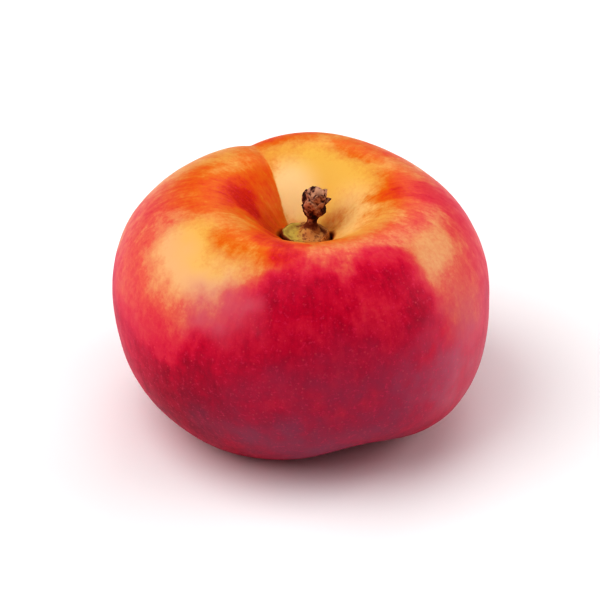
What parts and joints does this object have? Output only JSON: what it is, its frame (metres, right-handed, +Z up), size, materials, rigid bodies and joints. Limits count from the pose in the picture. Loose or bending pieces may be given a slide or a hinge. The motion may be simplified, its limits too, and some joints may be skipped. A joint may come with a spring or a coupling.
{
  "type": "nectarine",
  "caption": "Flat nectarine, a low round stone fruit with a deep stem cavity, a suture groove and the woody stub of its stalk.",
  "frame": {"origin": "on the resting plane, below the middle of the fruit", "axes": "+Z up along the short axis from the blossom end to the stem cavity, -Y towards the side that the picture shows, +Y roughly along the suture"},
  "size_m": [0.0658, 0.0659, 0.0437],
  "materials": {
    "skin": "satin",
    "stalk": "matte"
  },
  "bodies": {
    "root": {"fruit": "skin", "stalk": "stalk"}
  },
  "joints": []
}
